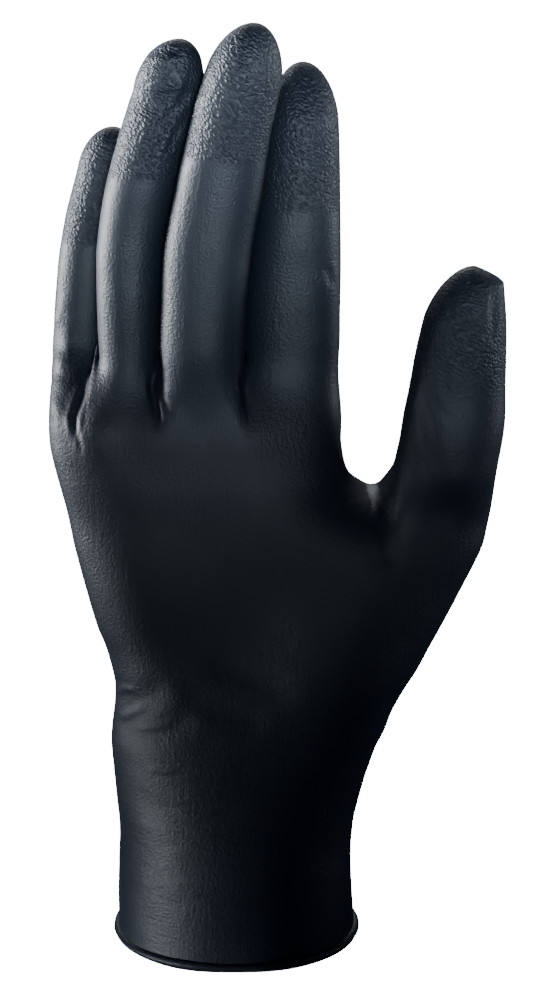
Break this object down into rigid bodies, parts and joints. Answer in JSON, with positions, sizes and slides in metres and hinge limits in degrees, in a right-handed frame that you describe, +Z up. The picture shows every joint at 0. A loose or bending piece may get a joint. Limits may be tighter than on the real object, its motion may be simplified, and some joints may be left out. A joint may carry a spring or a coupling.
{
  "type": "nitrile exam glove",
  "caption": "Thin disposable glove for the right hand in worn form, with closed finger and thumb stalls, an open hollow and a rolled bead at the cuff.",
  "frame": {"origin": "middle of the cuff's mouth, level with the lowest point of the rolled bead, where the wrist goes in", "axes": "+Z up the hand to the fingertips, -Y out of the palm, +X to the thumb's side"},
  "size_m": [0.1131, 0.0592, 0.2395],
  "materials": {
    "black_nitrile": "satin"
  },
  "bodies": {
    "root": {"glove": "black_nitrile"}
  },
  "joints": []
}
